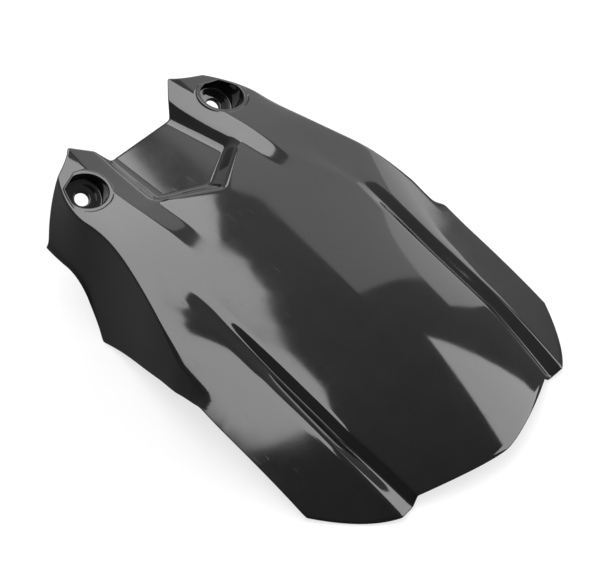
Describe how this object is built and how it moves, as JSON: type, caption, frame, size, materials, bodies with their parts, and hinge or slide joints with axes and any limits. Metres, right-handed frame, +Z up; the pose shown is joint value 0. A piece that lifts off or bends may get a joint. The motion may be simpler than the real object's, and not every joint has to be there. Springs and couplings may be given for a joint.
{
  "type": "motorcycle rear fender",
  "caption": "Gloss black moulded rear fender shell with an arrow-shaped tail, ribbed crown, side flanks and recessed screw wells in its front ears.",
  "frame": {"origin": "middle of the footprint, on the table plane the shell rests on", "axes": "+X across the fender, +Y along it towards the ears with the screw wells, +Z up from the table"},
  "size_m": [0.2, 0.283, 0.0722],
  "materials": {
    "gloss_black": "high gloss, moulded in black"
  },
  "bodies": {
    "root": {"fender": "gloss_black"}
  },
  "joints": []
}
